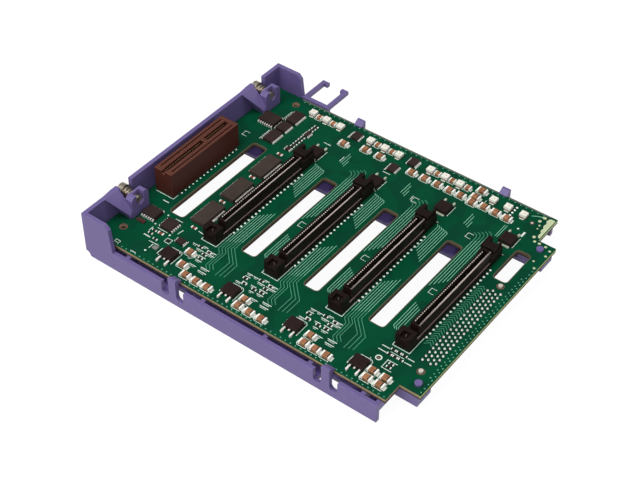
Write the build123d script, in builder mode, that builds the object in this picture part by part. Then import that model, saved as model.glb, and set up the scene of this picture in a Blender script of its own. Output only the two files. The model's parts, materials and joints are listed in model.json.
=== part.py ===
from build123d import *
import os

os.makedirs("parts", exist_ok=True)

# Circuit board outline, seen from above with the front left corner at zero
board_top = 11.5
board_thick = 2.0
board_low = board_top - board_thick
board_right = 164.65
board_back = 129.93
front_step_x = 154.85
front_step_y = 9.69
back_step_x = 156.0
back_step_y = 113.49
window_corner = 1.5
windows = [
    (16.80, 24.45, 30.6, 89.9),
    (57.60, 65.08, 30.5, 89.9),
    (91.17, 98.65, 30.5, 89.9),
    (124.74, 132.22, 30.5, 89.9),
    (151.80, 158.50, 82.5, 103.0),
]
spare_hole_r = 1.3
spare_holes = [(7.72, 10.64), (14.77, 124.12)]
notch_wide = 5.2
notch_deep = 0.5
cut_past = 1.0

# Carrier shell
wall = 2.0
left_out = -2.3
front_out = -3.5
back_out = 132.2
rim = 24.0
low_front_top = 9.6
low_back_top = 8.5
tab_wall_top = 12.5
return_top_x = 10.9
return_cut = 2.0
return_foot_x = 14.2
return_slope_rise = 1.2
floor_thick = 2.0
left_flange_x = 8.0
front_flange_y = 22.0
back_flange_y = 108.0
back_flange_mid_y = 91.1
back_flange_mid_x = 135.0
flange_right = 151.0
rib_thick = 2.0
rib_places = [20.0, 62.0, 95.0, 118.0, 144.0]
shelf_deep = 2.4
flange_notch_start = 1.5
flange_notch_end = 8.5
flange_notch_wide = 3.0
bottom_round = 2.5

# Snap hooks
hook_places = [48.1, 128.3]
hook_wide = 4.1
hook_slot = 4.0
hook_slot_low = 3.5
hook_front_top = 14.4
hook_back_top = 13.9
hook_nose_front = 0.6
hook_nose_back = 128.7
hook_nose_z = 12.3
hook_gap = 0.1
hook_tip = 1.2
hook_root = 2.0
hook_hole_front_y = 4.1
hook_hole_back_deep = 5.6

# Fork tabs behind the back wall
fork_thick = 2.0
fork_low = board_top - 1.0
fork_end = 147.0
fork_arm_1 = 14.0
fork_arm_2 = 27.3
fork_arm_wide = 2.0
fork_hook_deep = 2.0
fork_hook_1 = 18.0
fork_hook_2 = 25.6

# Place and length of the link connector, which the near pad keeps clear of
link_y = 50.0
link_len = 61.6
link_clear = 2.2

# Right hand pads and the pegs through the board
pad_right = 163.3
pad_low = 3.9
pad_left = 151.3
low_wall_right = pad_left + 2.0
pad_step_x = 162.4
pad_step_y = link_y - link_len / 2 - link_clear
near_pad_reach = 7.1
near_pad_shelf = 2.5
near_peg_inset = 2.5
near_pad = (pad_step_y - near_pad_reach, pad_step_y + near_pad_shelf)
far_pad = (104.4, 113.5)
pad_rib_low = 5.5
peg_r = 1.6
peg_top = 12.5
peg_places = [(160.4, pad_step_y - near_peg_inset), (159.4, 108.7)]
peg_hole_gap = 0.15

# Screw lugs on the left wall
lug_axis_y = [22.3, 115.45]
lug_axis_z = 18.7
lug_x0 = 4.0
lug_x1 = 7.8
lug_half = 5.3
lug_top = 22.5
lug_low = 11.7
lug_web_top = 14.9
lug_corner = 1.4
gusset_top_reach = 13.4
gusset_foot_reach = 6.4
gusset_back_reach = 4.6
gusset_end_high = 2.0
gusset_end_tall = 4.6
bulge_out = 0.5
bulge_foot_y = 12.0
bulge_crest_y = 7.0
bulge_crest_back_y = 2.0
bulge_foot_back_y = 4.2
screw_r = 2.0
screw_gap = 0.2
screw_head_r = 3.5
screw_head_x0 = -3.9
screw_head_x1 = -1.2
screw_slot_wide = 1.0
screw_slot_deep = 0.9
screw_ring_r = 2.9
screw_ring_long = 0.8
screw_ring_places = [-0.4, 1.2, 2.8]
screw_end_x = 7.0
head_pocket_r = 3.7
lug_slot_x = 5.1
lug_slot_r = 2.2

# Drive sockets
socket_pitch = 33.57
socket_count = 4
socket_x0 = 40.4
socket_wide = 7.0
socket_y0 = 26.0
socket_y1 = 95.9
socket_base_h = 2.6
shroud_x0 = 42.7
shroud_x1 = 46.9
shroud_y0 = 33.3
shroud_y1 = 87.0
shroud_h = 8.4
shroud_wall = 0.6
end_block_h = 7.0
far_block_h = 7.8
end_block_step = 31.2
near_rib_inset = (0.8, 1.2)
near_rib_overlap = 0.9
near_rib_drop = 2.8
far_block_overlap = 0.5
far_block_drop = 2.6
far_cap_start = 2.0
far_cap_inset = 0.6
end_dip_x = (1.9, 5.6)
end_dip_low = 5.0
near_dip_long = 3.4
far_dip_long = 3.2
shroud_floor = 1.4
contact_pitch = 1.27
contact_rows = 40
contact_first_y = 35.6
contact_wide = 0.6
contact_thick = 0.35
contact_low = 0.3
contact_h = 7.6
contact_row_a = 43.3
contact_row_b = 45.95
contact_slot_end = 0.6
contact_slot_top = 2.0
guide_hole_r = 0.8
guide_hole_inset = [(3.7, 2.2), (3.7, -1.9)]

# Edge socket with the long card slot
edge_x0 = 2.4
edge_x1 = 12.4
edge_y0 = 37.9
edge_y1 = 84.0
edge_h = 12.8
edge_slot_x0 = 6.6
edge_slot_x1 = 8.4
edge_slot_y0 = 40.2
edge_slot_y1 = 81.8
edge_key_y = 65.6
edge_key_wide = 1.6
edge_slot_deep = 8.5
edge_groove_x = [(3.7, 4.7), (10.3, 11.3)]
edge_groove_deep = 0.8
edge_dip_deep = 1.6
edge_contact_thick = 0.3
edge_contact_wide = 0.7
edge_contact_low = 0.4
edge_contact_h = 11.0

# Link connector below the board
link_x0 = 152.3
link_x1 = 161.9
link_base_h = 3.9
link_shroud_x0 = 154.8
link_shroud_x1 = 159.9
link_shroud_len = 54.0
link_shroud_low = 1.7
link_shroud_wall = 0.8
link_cavity_top = 7.2
link_blade_low = 3.2
link_blade_rows = [155.9, 158.8]
tail_rows = [154.62, 156.52, 158.43, 160.20]
tail_pitch = 2.54
tail_count = 20
tail_first_y = 25.87
tail_stagger = 1.27
tail_wide = 0.6
tail_hole = 0.8
tail_top = 12.1
tail_low = 7.6
lock_inset = 1.2
lock_places = [
    (157.56, link_y - link_len / 2 + lock_inset),
    (157.58, link_y + link_len / 2 - lock_inset),
]
lock_r = 1.0
lock_hole_r = 1.15
lock_top = 12.2

# Chips, regulators and the small parts, all on a film of solder
solder_film = 0.05
seat = board_top + solder_film
driver_x0 = 28.9
driver_x1 = 36.2
driver_len = 14.6
driver_centres = [38.4, 58.4, 78.6]
driver_h = 2.1
driver_gap = 0.15
driver_lead_pitch = 0.635
driver_leads = 20
driver_shoulder_reach = 0.3
driver_foot_reach = 0.9
driver_lead_size = (0.6, 0.3)
regulator_places = [(35.9, 8.9), (70.4, 8.3), (103.2, 8.9), (136.1, 8.6)]
regulator_wide = 6.5
regulator_deep = 5.8
regulator_h = 2.3
regulator_lead_wide = 0.8
regulator_lead_spread = 2.3
regulator_lead_long = 1.5
regulator_stub_long = 0.7
regulator_foot_long = 1.4
regulator_foot_y = 2.2
regulator_lead_low = 0.7
regulator_lead_top = 1.1
regulator_tab = (5.4, 1.2, 0.5)
big_cap_places = [
    (42.2, 15.7), (44.3, 8.1), (49.3, 4.2), (55.3, 4.0), (61.2, 4.0),
    (78.2, 8.2), (78.1, 3.9), (84.1, 3.7), (90.3, 3.7),
    (112.0, 8.8), (112.2, 4.0), (117.8, 4.0), (123.4, 4.0),
    (142.6, 8.8), (142.8, 4.4), (149.0, 8.6), (148.9, 4.4),
    (50.7, 114.2), (61.4, 116.9), (69.4, 116.8), (87.5, 116.6), (94.5, 116.7),
    (101.4, 116.8), (107.9, 116.8), (113.7, 116.9), (120.1, 116.0), (126.1, 116.9),
    (132.1, 116.8), (138.0, 116.6), (119.5, 120.0), (119.7, 125.4),
]
big_cap_size = (4.4, 2.7, 1.5)
big_cap_end = 0.8
small_cap_places = [
    (30.2, 122.8), (38.2, 122.9), (63.9, 123.1), (72.0, 123.0), (97.3, 123.0), (105.3, 123.0), (113.4, 123.2),
]
small_cap_size = (3.0, 2.4, 1.3)
small_cap_end = 0.55
light_places = [
    (26.0, 123.4), (34.2, 123.0), (42.3, 123.0), (59.7, 123.2), (68.0, 122.9), (76.0, 122.8),
    (93.4, 123.0), (101.4, 123.0), (109.3, 122.9), (127.1, 123.1), (134.8, 122.9), (142.8, 122.8),
]
light_size = (3.3, 3.0, 1.9)
end_regulator_places = [(44.3, 100.4), (77.9, 100.4), (112.2, 104.8), (145.6, 104.9)]
end_regulator_size = (6.2, 6.2, 2.4)
end_regulator_tab = (5.2, 1.0, 0.5)
end_lead_wide = 0.8
control_places = [(21.4, 115.2, 5.3, 8.2), (21.2, 106.4, 5.3, 6.2), (21.2, 97.9, 5.3, 8.2)]
corner_places = [(12.6, 107.0, 8.8, 7.0), (12.7, 24.2, 7.2, 6.0)]
clock_places = [(23.8, 23.0, 6.0, 6.2)]
rear_places = [(52.4, 122.0, 3.9, 4.9), (78.9, 113.6, 3.9, 4.9), (84.1, 122.6, 3.9, 4.9)]
tiny_places = [(34.3, 18.3, 3.9, 3.0), (33.2, 109.2, 1.8, 3.4), (32.4, 95.6, 1.8, 2.6)]
chip_groups = {
    "control_chips": (control_places, 1.6, 0.65, False),
    "corner_chips": (corner_places, 2.2, 1.27, True),
    "clock_chips": (clock_places, 1.8, 1.27, False),
    "rear_chips": (rear_places, 1.5, 1.0, False),
    "tiny_chips": (tiny_places, 1.2, 0.95, False),
}
chip_gap = 0.1
chip_shoulder_reach = 0.2
chip_foot_reach = 0.65
chip_lead_across = 0.4
chip_foot_across = 0.5
chip_lead_share = 0.45
chip_end_margin = 0.4
chip_lead_level = 0.5
lead_thick = 0.3
lead_rise = 0.7


def box(x0, x1, y0, y1, z0, z1, mode=Mode.ADD):
    with Locations(((x0 + x1) / 2, (y0 + y1) / 2, (z0 + z1) / 2)):
        Box(x1 - x0, y1 - y0, z1 - z0, mode=mode)


def save(part, name):
    part.label = name
    export_step(part, f"parts/{name}.step")


tail_points = [
    (x, tail_first_y + (row % 2) * tail_stagger + step * tail_pitch)
    for row, x in enumerate(tail_rows)
    for step in range(tail_count)
]

# Circuit board with its steps, windows and holes
with BuildPart() as circuit_board:
    with BuildSketch(Plane.XY.offset(board_low)):
        with BuildLine():
            Polyline(
                (0, 0),
                (front_step_x, 0),
                (front_step_x, front_step_y),
                (board_right, front_step_y),
                (board_right, back_step_y),
                (back_step_x, back_step_y),
                (back_step_x, board_back),
                (0, board_back),
                close=True,
            )
        make_face()
        for x0, x1, y0, y1 in windows:
            with Locations(((x0 + x1) / 2, (y0 + y1) / 2)):
                RectangleRounded(x1 - x0, y1 - y0, window_corner, mode=Mode.SUBTRACT)
        with Locations(*spare_holes):
            Circle(spare_hole_r, mode=Mode.SUBTRACT)
        with Locations(*peg_places):
            Circle(peg_r + peg_hole_gap, mode=Mode.SUBTRACT)
        with Locations(*lock_places):
            Circle(lock_hole_r, mode=Mode.SUBTRACT)
        for x in hook_places:
            with Locations((x, board_back)):
                Rectangle(notch_wide, 2 * notch_deep, mode=Mode.SUBTRACT)
        with Locations(*tail_points):
            Rectangle(tail_hole, tail_hole, mode=Mode.SUBTRACT)
    extrude(amount=board_thick)
save(circuit_board.part, "circuit_board")

# Moulded carrier
front_in = front_out + wall
back_in = back_out - wall
left_in = left_out + wall
with BuildPart() as carrier:
    # Floor flange, open towards the right
    with BuildSketch(Plane.XY):
        with BuildLine():
            Polyline(
                (left_out, front_out),
                (flange_right, front_out),
                (flange_right, front_in + flange_notch_start),
                (flange_right - flange_notch_wide, front_in + flange_notch_end),
                (flange_right - flange_notch_wide, front_flange_y),
                (left_flange_x, front_flange_y),
                (left_flange_x, back_flange_mid_y),
                (back_flange_mid_x, back_flange_mid_y),
                (back_flange_mid_x, back_flange_y),
                (flange_right, back_flange_y),
                (flange_right, back_out),
                (left_out, back_out),
                close=True,
            )
        make_face()
    extrude(amount=floor_thick)
    # Left wall and the two tall returns with their sloped corners
    box(left_out, left_in, front_out, back_out, 0, rim)
    for y in (front_in, back_out):
        with BuildSketch(Plane.XZ.offset(-y)):
            with BuildLine():
                Polyline(
                    (left_out, 0),
                    (return_foot_x, 0),
                    (return_foot_x, low_front_top + return_slope_rise),
                    (return_top_x + return_cut, rim - return_cut),
                    (return_top_x, rim),
                    (left_out, rim),
                    close=True,
                )
            make_face()
        extrude(amount=wall)
    # Low front and back walls
    box(left_out, low_wall_right, front_out, front_in, 0, low_front_top)
    box(left_out, low_wall_right, back_in, back_out, 0, low_back_top)
    box(left_out, fork_arm_2 + fork_arm_wide, back_in, back_out, 0, tab_wall_top)
    # Shelves that carry the board along its edges
    for x in rib_places:
        box(x, x + rib_thick, front_in, shelf_deep, floor_thick, board_low)
        box(x, x + rib_thick, board_back - shelf_deep, back_in, floor_thick, board_low)
    box(left_in, shelf_deep, front_in, back_in, floor_thick, board_low)
    # Pads under the right edge with ribs that join them to the walls
    for y0, y1 in (near_pad, far_pad):
        box(pad_left, pad_right, y0, y1, pad_low, board_low)
    box(pad_left, low_wall_right, front_in, near_pad[0], pad_rib_low, board_low)
    box(pad_left, low_wall_right, far_pad[1], back_in, pad_rib_low, board_low)
    step_y1 = near_pad[1] + cut_past
    step_z0 = pad_low - cut_past
    box(pad_left - cut_past, pad_step_x, pad_step_y, step_y1, step_z0, board_low, Mode.SUBTRACT)
    with BuildSketch(Plane.XY.offset(board_low)):
        with Locations(*peg_places):
            Circle(peg_r)
    extrude(amount=peg_top - board_low)
    # Relief slots and floor holes beside the snap hooks
    for x in hook_places:
        half = hook_wide / 2 + hook_slot
        for y, top, sign in ((front_in, low_front_top, 1), (back_out, low_back_top, -1)):
            with BuildSketch(Plane.XZ.offset(-y)):
                for side in (-1, 1):
                    mid = x + side * (hook_wide + hook_slot) / 2
                    with Locations((mid, (hook_slot_low + hook_slot / 2 + top + 1) / 2)):
                        Rectangle(hook_slot, top + 1 - hook_slot_low - hook_slot / 2)
                    with Locations((mid, hook_slot_low + hook_slot / 2)):
                        Circle(hook_slot / 2)
            extrude(amount=wall, mode=Mode.SUBTRACT)
        hole_low = -cut_past
        hole_high = floor_thick + cut_past
        back_hole_y = back_in - hook_hole_back_deep
        box(x - half, x + half, front_in, hook_hole_front_y, hole_low, hole_high, Mode.SUBTRACT)
        box(x - half, x + half, back_hole_y, back_in, hole_low, hole_high, Mode.SUBTRACT)
        with BuildSketch(Plane.YZ.offset(x - hook_wide / 2)):
            with BuildLine():
                Polyline(
                    (front_out, low_front_top - hook_root),
                    (front_out, hook_front_top),
                    (front_out + hook_tip, hook_front_top),
                    (hook_nose_front, hook_nose_z),
                    (hook_nose_front, board_top + hook_gap),
                    (front_in, board_top + hook_gap),
                    (front_in, low_front_top - hook_root),
                    close=True,
                )
            make_face()
        extrude(amount=hook_wide)
        with BuildSketch(Plane.YZ.offset(x - hook_wide / 2)):
            with BuildLine():
                Polyline(
                    (back_out, low_back_top - hook_root),
                    (back_out, hook_back_top),
                    (back_out - hook_tip, hook_back_top),
                    (hook_nose_back, hook_nose_z),
                    (hook_nose_back, board_top + hook_gap),
                    (back_in, board_top + hook_gap),
                    (back_in, low_back_top - hook_root),
                    close=True,
                )
            make_face()
        extrude(amount=hook_wide)
    # Fork tabs with hooked ends
    fork_top = fork_low + fork_thick
    fork_hook_y = fork_end - fork_hook_deep
    fork_side = fork_arm_2 + fork_arm_wide
    box(fork_arm_1, fork_arm_1 + fork_arm_wide, back_out, fork_end, fork_low, fork_top)
    box(fork_arm_1, fork_hook_1, fork_hook_y, fork_end, fork_low, fork_top)
    box(fork_arm_2, fork_side, back_out, fork_end, fork_low, fork_top)
    box(fork_hook_2, fork_side, fork_hook_y, fork_end, fork_low, fork_top)
    # Screw lugs with their flared wall, gusset, pocket and slot
    for y in lug_axis_y:
        with BuildSketch(Plane.XY.offset(board_top + 1)):
            with BuildLine():
                Polyline(
                    (left_in, y - bulge_foot_y),
                    (left_out, y - bulge_foot_y),
                    (left_out - bulge_out, y - bulge_crest_y),
                    (left_out - bulge_out, y + bulge_crest_back_y),
                    (left_out, y + bulge_foot_back_y),
                    (left_in, y + bulge_foot_back_y),
                    close=True,
                )
            make_face()
        extrude(amount=rim - board_top - 1)
        box(left_in, lug_x0, y - lug_half, y + lug_half, lug_low, lug_web_top)
        with BuildSketch(Plane.YZ.offset(lug_x0)):
            with BuildLine():
                Polyline(
                    (y - lug_half, lug_low),
                    (y + lug_half, lug_low),
                    (y + lug_half, lug_top - lug_corner),
                    (y + lug_half - lug_corner, lug_top),
                    (y - lug_half + lug_corner, lug_top),
                    (y - lug_half, lug_top - lug_corner),
                    close=True,
                )
            make_face()
        extrude(amount=lug_x1 - lug_x0)
        with BuildSketch(Plane.YZ.offset(left_in)):
            with BuildLine():
                Polyline(
                    (y - gusset_top_reach, rim),
                    (y - gusset_foot_reach, lug_low),
                    (y - gusset_back_reach, lug_low),
                    (y - gusset_back_reach, rim),
                    close=True,
                )
            make_face()
        with BuildSketch(Plane.YZ.offset(lug_x1 - 0.4)):
            with BuildLine():
                Polyline(
                    (y - gusset_foot_reach, lug_low + gusset_end_high),
                    (y - gusset_foot_reach, lug_low),
                    (y - gusset_back_reach, lug_low),
                    (y - gusset_back_reach, lug_low + gusset_end_tall),
                    close=True,
                )
            make_face()
        loft(ruled=True)
        with BuildSketch(Plane.YZ.offset(left_out - bulge_out - 1)):
            with Locations((y, lug_axis_z)):
                Circle(head_pocket_r)
            with Locations((y, (lug_axis_z + rim + 1) / 2)):
                Rectangle(2 * head_pocket_r, rim + 1 - lug_axis_z)
        extrude(amount=lug_x0 - left_out + bulge_out + 1, mode=Mode.SUBTRACT)
        with BuildSketch(Plane.YZ.offset(lug_slot_x)):
            with Locations((y, lug_axis_z)):
                Circle(lug_slot_r)
            with Locations((y, (lug_axis_z + lug_top + 1) / 2)):
                Rectangle(2 * lug_slot_r, lug_top + 1 - lug_axis_z)
        extrude(amount=lug_x1 - lug_slot_x, mode=Mode.SUBTRACT)
        with BuildSketch(Plane.YZ.offset(lug_x0)):
            with Locations((y, lug_axis_z)):
                Circle(screw_r)
        extrude(amount=lug_slot_x - lug_x0, mode=Mode.SUBTRACT)
    # Rounded corner where the left wall meets the floor
    with BuildSketch(Plane.XZ.offset(-back_out)):
        with BuildLine():
            Polyline((left_out + bottom_round, 0), (left_out, 0), (left_out, bottom_round))
            RadiusArc((left_out, bottom_round), (left_out + bottom_round, 0), bottom_round)
        make_face()
    extrude(amount=back_out - front_out, mode=Mode.SUBTRACT)
save(carrier.part, "carrier")

# Captive screws lying along the board in the lugs
with BuildPart() as captive_screws:
    for y in lug_axis_y:
        with BuildSketch(Plane.YZ.offset(screw_head_x0)):
            with Locations((y, lug_axis_z)):
                Circle(screw_head_r)
        extrude(amount=screw_head_x1 - screw_head_x0)
        with BuildSketch(Plane.YZ.offset(screw_head_x1)):
            with Locations((y, lug_axis_z)):
                Circle(screw_r)
        extrude(amount=screw_end_x - screw_head_x1)
        for x in screw_ring_places:
            with BuildSketch(Plane.YZ.offset(x)):
                with Locations((y, lug_axis_z)):
                    Circle(screw_ring_r)
            extrude(amount=screw_ring_long)
        with BuildSketch(Plane.YZ.offset(screw_head_x0)):
            with Locations((y, lug_axis_z)):
                Rectangle(2 * screw_head_r + cut_past, screw_slot_wide)
        extrude(amount=screw_slot_deep, mode=Mode.SUBTRACT)
save(captive_screws.part, "captive_screws")

# Drive sockets, each with two rows of contacts standing on the board
for index in range(socket_count):
    shift = index * socket_pitch
    x0 = socket_x0 + shift
    x1 = x0 + socket_wide
    s0 = shroud_x0 + shift
    s1 = shroud_x1 + shift
    contact_y1 = contact_first_y + (contact_rows - 1) * contact_pitch
    with BuildPart() as drive_socket:
        box(x0, x1, socket_y0, socket_y1, seat, seat + socket_base_h)
        box(s0, s1, shroud_y0, shroud_y1, seat, seat + shroud_h)
        box(x0, x1, socket_y0, end_block_step, seat, seat + end_block_h)
        rib_x0 = x0 + near_rib_inset[0]
        rib_x1 = x1 - near_rib_inset[1]
        rib_top = seat + end_block_h - near_rib_drop
        box(rib_x0, rib_x1, end_block_step - near_rib_overlap, shroud_y0, seat, rib_top)
        far_y0 = shroud_y1 - far_block_overlap
        box(x0, x1, far_y0, socket_y1, seat, seat + far_block_h - far_block_drop)
        cap_y0 = shroud_y1 + far_cap_start
        box(x0, x1 - far_cap_inset, cap_y0, socket_y1, seat, seat + far_block_h)
        dip_x0 = x0 + end_dip_x[0]
        dip_x1 = x0 + end_dip_x[1]
        dip_z0 = seat + end_dip_low
        dip_z1 = seat + far_block_h + cut_past
        near_dip_y = socket_y0 + near_dip_long
        far_dip_y = socket_y1 - far_dip_long
        box(dip_x0, dip_x1, socket_y0 - cut_past, near_dip_y, dip_z0, dip_z1, Mode.SUBTRACT)
        box(dip_x0, dip_x1, far_dip_y, socket_y1 + cut_past, dip_z0, dip_z1, Mode.SUBTRACT)
        box(
            s0 + shroud_wall,
            s1 - shroud_wall,
            shroud_y0 + shroud_wall,
            shroud_y1 - shroud_wall,
            seat + shroud_floor,
            seat + shroud_h + cut_past,
            Mode.SUBTRACT,
        )
        for row_x in (contact_row_a, contact_row_b):
            box(
                row_x + shift,
                row_x + shift + contact_thick,
                contact_first_y - contact_slot_end,
                contact_y1 + contact_slot_end,
                seat + contact_low,
                seat + contact_slot_top,
                Mode.SUBTRACT,
            )
        with BuildSketch(Plane.XY.offset(seat + 1)):
            (near_x, near_y), (far_x, far_y) = guide_hole_inset
            with Locations((x0 + near_x, socket_y0 + near_y), (x0 + far_x, socket_y1 + far_y)):
                Circle(guide_hole_r)
        extrude(amount=10, mode=Mode.SUBTRACT)
    save(drive_socket.part, f"drive_socket_{index + 1}")
    contact_points = [
        (row_x + shift + contact_thick / 2, contact_first_y + step * contact_pitch)
        for row_x in (contact_row_a, contact_row_b)
        for step in range(contact_rows)
    ]
    with BuildPart() as drive_contacts:
        with BuildSketch(Plane.XY.offset(seat + contact_low)):
            with Locations(*contact_points):
                Rectangle(contact_thick, contact_wide)
        extrude(amount=contact_h)
    save(drive_contacts.part, f"drive_socket_contacts_{index + 1}")

# Tall edge socket and its contacts
edge_steps = int((edge_slot_y1 - edge_slot_y0) / contact_pitch)
edge_key_low = edge_key_y - edge_key_wide / 2
edge_key_high = edge_key_y + edge_key_wide / 2
with BuildPart() as edge_socket:
    box(edge_x0, edge_x1, edge_y0, edge_y1, seat, seat + edge_h)
    edge_floor = seat + edge_h - edge_slot_deep
    edge_past = seat + edge_h + cut_past
    for y0, y1 in ((edge_slot_y0, edge_key_low), (edge_key_high, edge_slot_y1)):
        box(edge_slot_x0, edge_slot_x1, y0, y1, edge_floor, edge_past, Mode.SUBTRACT)
        for row_x in (edge_slot_x0 - edge_contact_thick, edge_slot_x1):
            z0 = seat + edge_contact_low
            box(row_x, row_x + edge_contact_thick, y0, y1, z0, edge_past, Mode.SUBTRACT)
    for x0, x1 in edge_groove_x:
        z0 = seat + edge_h - edge_groove_deep
        box(x0, x1, edge_slot_y0, edge_slot_y1, z0, edge_past, Mode.SUBTRACT)
    z0 = seat + edge_h - edge_dip_deep
    dip_y0 = edge_y0 - cut_past
    dip_y1 = edge_slot_y0 + cut_past
    box(edge_slot_x0, edge_slot_x1, dip_y0, dip_y1, z0, edge_past, Mode.SUBTRACT)
save(edge_socket.part, "edge_socket")

edge_contact_ys = [edge_slot_y0 + (step + 0.5) * contact_pitch for step in range(edge_steps)]
edge_contact_points = [
    (row_x + edge_contact_thick / 2, y)
    for row_x in (edge_slot_x0 - edge_contact_thick, edge_slot_x1)
    for y in edge_contact_ys
    if y + 0.5 < edge_key_low or y - 0.5 > edge_key_high
]
with BuildPart() as edge_contacts:
    with BuildSketch(Plane.XY.offset(seat + edge_contact_low)):
        with Locations(*edge_contact_points):
            Rectangle(edge_contact_thick, edge_contact_wide)
    extrude(amount=edge_contact_h)
save(edge_contacts.part, "edge_socket_contacts")

# Link connector under the right edge with its tails and locking pegs
with BuildPart() as link_connector:
    box(link_x0, link_x1, link_y - link_len / 2, link_y + link_len / 2, board_low - link_base_h, board_low)
    y0 = link_y - link_shroud_len / 2
    y1 = link_y + link_shroud_len / 2
    box(link_shroud_x0, link_shroud_x1, y0, y1, link_shroud_low, board_low)
    box(
        link_shroud_x0 + link_shroud_wall,
        link_shroud_x1 - link_shroud_wall,
        y0 + link_shroud_wall,
        y1 - link_shroud_wall,
        link_shroud_low - 1,
        link_cavity_top,
        Mode.SUBTRACT,
    )
    with BuildSketch(Plane.XY.offset(tail_low)):
        with Locations(*tail_points):
            Rectangle(tail_wide, tail_wide)
    extrude(amount=board_low - tail_low, mode=Mode.SUBTRACT)
    with BuildSketch(Plane.XY.offset(board_low)):
        with Locations(*lock_places):
            Circle(lock_r)
    extrude(amount=lock_top - board_low)
save(link_connector.part, "link_connector")

with BuildPart() as link_pins:
    with BuildSketch(Plane.XY.offset(tail_low)):
        with Locations(*tail_points):
            Rectangle(tail_wide, tail_wide)
    extrude(amount=tail_top - tail_low)
save(link_pins.part, "link_connector_pins")

link_blade_first = link_y - contact_pitch * (contact_rows - 1) / 2
link_blade_points = [
    (x, link_blade_first + step * contact_pitch)
    for x in link_blade_rows
    for step in range(contact_rows)
]
with BuildPart() as link_blades:
    with BuildSketch(Plane.XY.offset(link_blade_low)):
        with Locations(*link_blade_points):
            Rectangle(contact_thick, contact_wide)
    extrude(amount=link_cavity_top - link_blade_low)
save(link_blades.part, "link_connector_blades")


def lead_rows(x, wide, y, count, pitch, reach):
    rows = []
    for side in (-1, 1):
        for step in range(count):
            rows.append((x + side * (wide / 2 + reach), y + (step - (count - 1) / 2) * pitch))
    return rows


def turned_lead_rows(x, y, deep, count, pitch, reach):
    return [(across, along) for along, across in lead_rows(y, deep, x, count, pitch, reach)]


# Three bus driver chips beside the first drive socket
driver_x = (driver_x0 + driver_x1) / 2
driver_wide = driver_x1 - driver_x0
shoulders = []
feet = []
for y in driver_centres:
    shoulders += lead_rows(driver_x, driver_wide, y, driver_leads, driver_lead_pitch, driver_shoulder_reach)
    feet += lead_rows(driver_x, driver_wide, y, driver_leads, driver_lead_pitch, driver_foot_reach)
with BuildPart() as driver_chip_leads:
    with BuildSketch(Plane.XY.offset(seat + lead_rise - lead_thick)):
        with Locations(*shoulders):
            Rectangle(*driver_lead_size)
    extrude(amount=lead_thick)
    with BuildSketch(Plane.XY.offset(seat)):
        with Locations(*feet):
            Rectangle(*driver_lead_size)
    extrude(amount=lead_rise)
save(driver_chip_leads.part, "driver_chip_leads")
for index, y in enumerate(driver_centres):
    with BuildPart() as driver_chip:
        z0 = seat + driver_gap
        box(driver_x0, driver_x1, y - driver_len / 2, y + driver_len / 2, z0, seat + driver_h)
    save(driver_chip.part, f"driver_chip_{index + 1}")

# Voltage regulators near the front edge
regulator_front = [(x, y - regulator_deep / 2) for x, y in regulator_places]
regulator_lead_places = [
    (x + side * regulator_lead_spread, y) for x, y in regulator_front for side in (-1, 1)
]
lead_mids = [(x, y - regulator_lead_long / 2) for x, y in regulator_lead_places]
stub_mids = [(x, y - regulator_stub_long / 2) for x, y in regulator_front]
foot_mids = [(x, y - regulator_foot_y) for x, y in regulator_lead_places]
tab_wide, tab_deep, tab_high = regulator_tab
tab_mids = [(x, y + (regulator_deep + tab_deep) / 2) for x, y in regulator_places]
with BuildPart() as regulator_leads:
    with BuildSketch(Plane.XY.offset(seat + regulator_lead_low)):
        with Locations(*lead_mids):
            Rectangle(regulator_lead_wide, regulator_lead_long)
        with Locations(*stub_mids):
            Rectangle(regulator_lead_wide, regulator_stub_long)
    extrude(amount=regulator_lead_top - regulator_lead_low)
    with BuildSketch(Plane.XY.offset(seat)):
        with Locations(*foot_mids):
            Rectangle(regulator_lead_wide, regulator_foot_long)
    extrude(amount=regulator_lead_top)
    with BuildSketch(Plane.XY.offset(seat)):
        with Locations(*tab_mids):
            Rectangle(tab_wide, tab_deep)
    extrude(amount=tab_high)
save(regulator_leads.part, "regulator_leads")
for index, (x, y) in enumerate(regulator_places):
    with BuildPart() as regulator:
        half_x = regulator_wide / 2
        half_y = regulator_deep / 2
        box(x - half_x, x + half_x, y - half_y, y + half_y, seat, seat + regulator_h)
    save(regulator.part, f"regulator_{index + 1}")


# Ceramic capacitors in two sizes, bodies and their metal ends
cap_kinds = [(big_cap_places, big_cap_size, big_cap_end), (small_cap_places, small_cap_size, small_cap_end)]
with BuildPart() as ceramic_capacitors:
    for places, (long, deep, high), end in cap_kinds:
        with BuildSketch(Plane.XY.offset(seat)):
            with Locations(*places):
                Rectangle(long - 2 * end, deep)
        extrude(amount=high)
save(ceramic_capacitors.part, "ceramic_capacitors")
with BuildPart() as capacitor_ends:
    for places, (long, deep, high), end in cap_kinds:
        with BuildSketch(Plane.XY.offset(seat)):
            with Locations(*[(x + side * (long - end) / 2, y) for x, y in places for side in (-1, 1)]):
                Rectangle(end, deep)
        extrude(amount=high)
save(capacitor_ends.part, "capacitor_ends")

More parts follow.
